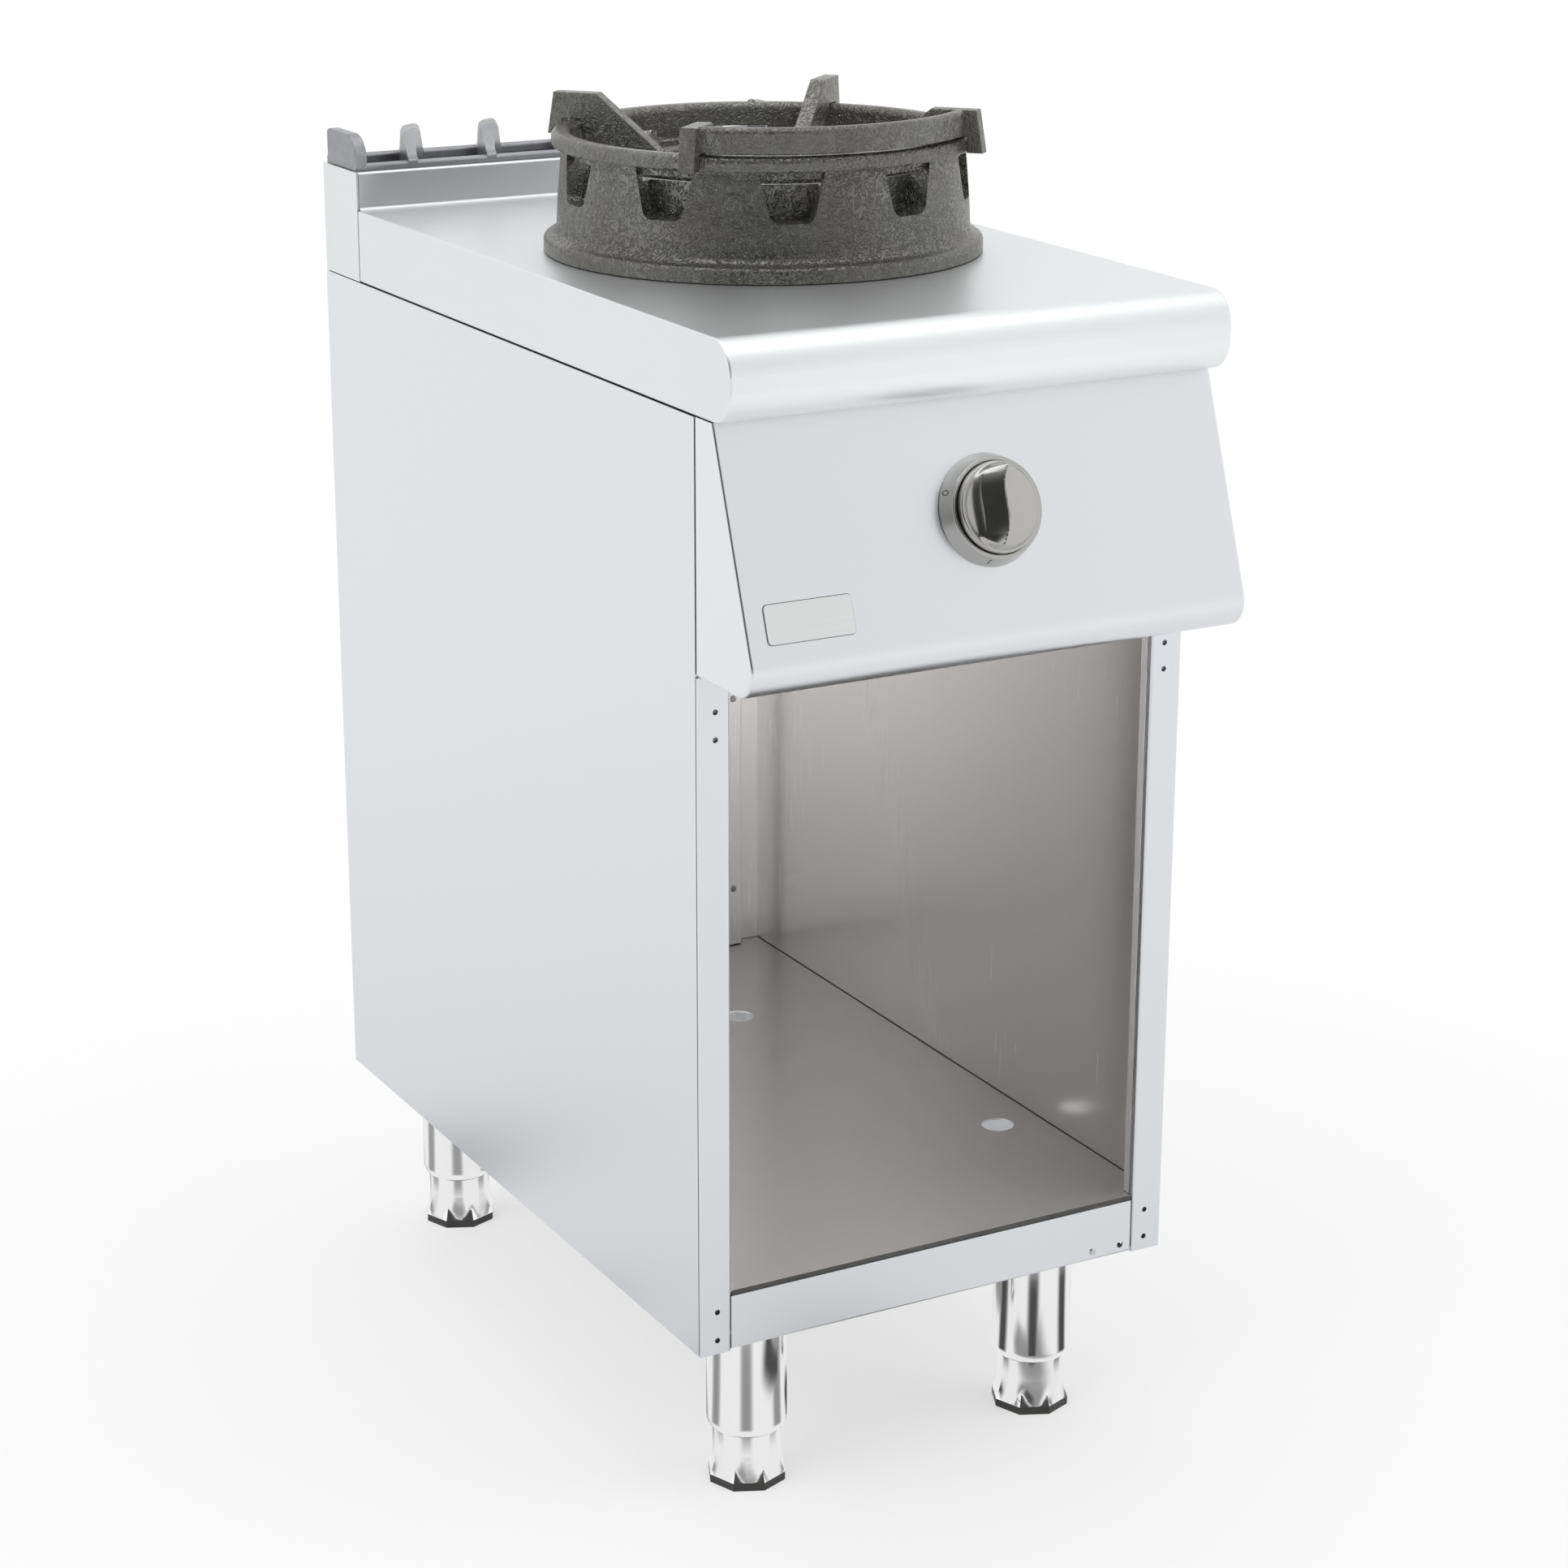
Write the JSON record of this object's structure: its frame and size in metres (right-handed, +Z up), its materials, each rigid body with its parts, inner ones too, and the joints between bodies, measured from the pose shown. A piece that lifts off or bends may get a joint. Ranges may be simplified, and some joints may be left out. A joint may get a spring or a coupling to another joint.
{
  "type": "wok range",
  "caption": "Free-standing gas wok range: open stainless cabinet on adjustable feet, sloping control panel with knob, cast-iron burner ring and wok support, flue riser with grille.",
  "frame": {"origin": "on the floor, under the middle of the object's box", "axes": "+Z up, +Y towards the back (wall), +X to the right seen from the front"},
  "size_m": [0.4, 0.7596, 1.0034],
  "materials": {
    "outer_steel": "fine satin brushed",
    "panel_steel": "fine satin brushed",
    "worktop_steel": "brushed",
    "back_steel": "plain mill",
    "inner_steel": "brushed",
    "galvanised": "galvanised",
    "zinc": "zinc plated",
    "leg_chrome": "polished",
    "knob_nickel": "satin nickel",
    "badge_metal": "brushed, bare",
    "brass": "machined",
    "copper": "drawn",
    "cast_iron": "rough cast, matt enamel",
    "burner_iron": "cast",
    "grille_iron": "grey enamel",
    "pan_steel": "pressed",
    "pad_black": "matt"
  },
  "bodies": {
    "cabinet": {"left_side_panel": "outer_steel", "right_side_panel": "outer_steel", "left_stile": "outer_steel", "right_stile": "outer_steel", "back_panel": "back_steel", "bottom_rail": "outer_steel", "base_shelf": "inner_steel", "left_liner": "inner_steel", "right_liner": "inner_steel", "inner_back": "inner_steel", "top_shield": "galvanised", "front_cross_rail": "galvanised", "rear_cross_rail": "galvanised", "worktop": "worktop_steel", "flue_riser": "worktop_steel", "control_panel": "panel_steel", "badge_plate": "badge_metal", "knob_bezel": "knob_nickel", "tap_spring": "zinc", "tap_bracket": "galvanised", "tap_body": "brass", "gas_inlet": "brass", "supply_pipe": "zinc", "burner_pipe": "zinc", "injector": "brass", "venturi": "burner_iron", "burner_body": "burner_iron", "burner_pan": "pan_steel", "burner_bracket": "galvanised", "pilot_burner": "brass", "pilot_pipe": "brass", "thermocouple": "copper", "rail_screw": "zinc", "liner_rivets": "zinc", "back_screws": "zinc", "leg_bushes": "zinc", "leg_front_left": "leg_chrome", "leg_front_right": "leg_chrome", "leg_rear_left": "leg_chrome", "leg_rear_right": "leg_chrome"},
    "push_carrier": {"thrust_washer": "zinc"},
    "knob_grip": {"knob": "knob_nickel", "knob_spindle": "brass"},
    "tap_plug": {"tap_plug": "brass"},
    "burner_crown": {"burner_crown": "burner_iron"},
    "burner_ring": {"burner_ring": "cast_iron"},
    "wok_support": {"wok_support": "cast_iron"},
    "flue_grille": {"flue_grille": "grille_iron"},
    "foot_front_left": {"foot_front_left": "leg_chrome", "pad_front_left": "pad_black"},
    "foot_front_right": {"foot_front_right": "leg_chrome", "pad_front_right": "pad_black"},
    "foot_rear_left": {"foot_rear_left": "leg_chrome", "pad_rear_left": "pad_black"},
    "foot_rear_right": {"foot_rear_right": "leg_chrome", "pad_rear_right": "pad_black"}
  },
  "joints": [
    {"name": "knob_push", "type": "slide", "parent": "cabinet", "child": "push_carrier", "axis": [0, 0.9431, -0.3325], "range_m": [0, 0.005], "stiffness_N_per_m": 1500, "springref_m": -0.006, "deforming": ["tap_spring"]},
    {"name": "knob_turn", "type": "hinge", "parent": "push_carrier", "child": "knob_grip", "pos_m": [0.0004, -0.3433, 0.76079], "axis": [0, -0.9431, 0.3325], "range_deg": [-194, 69]},
    {"name": "plug_turn", "type": "hinge", "parent": "cabinet", "child": "tap_plug", "pos_m": [0.0004, -0.3433, 0.76079], "axis": [0, -0.9431, 0.3325], "range_deg": [-194, 69]},
    {"name": "crown_lift", "type": "slide", "parent": "cabinet", "child": "burner_crown", "axis": [0, 0, 1], "range_m": [0, 0.045]},
    {"name": "ring_lift", "type": "slide", "parent": "cabinet", "child": "burner_ring", "axis": [0, 0, 1], "range_m": [0, 0.12]},
    {"name": "support_lift", "type": "slide", "parent": "burner_ring", "child": "wok_support", "axis": [0, 0, 1], "range_m": [0, 0.08]},
    {"name": "grille_lift", "type": "slide", "parent": "cabinet", "child": "flue_grille", "axis": [0, 0, 1], "range_m": [0, 0.06]},
    {"name": "height_front_left", "type": "slide", "parent": "cabinet", "child": "foot_front_left", "axis": [0, 0, -1], "range_m": [-0.01, 0.03]},
    {"name": "height_front_right", "type": "slide", "parent": "cabinet", "child": "foot_front_right", "axis": [0, 0, -1], "range_m": [-0.01, 0.03]},
    {"name": "height_rear_left", "type": "slide", "parent": "cabinet", "child": "foot_rear_left", "axis": [0, 0, -1], "range_m": [-0.01, 0.03]},
    {"name": "height_rear_right", "type": "slide", "parent": "cabinet", "child": "foot_rear_right", "axis": [0, 0, -1], "range_m": [-0.01, 0.03]}
  ],
  "couplings": [
    {"joint": "plug_turn", "follows": "knob_turn", "ratio": 1}
  ]
}
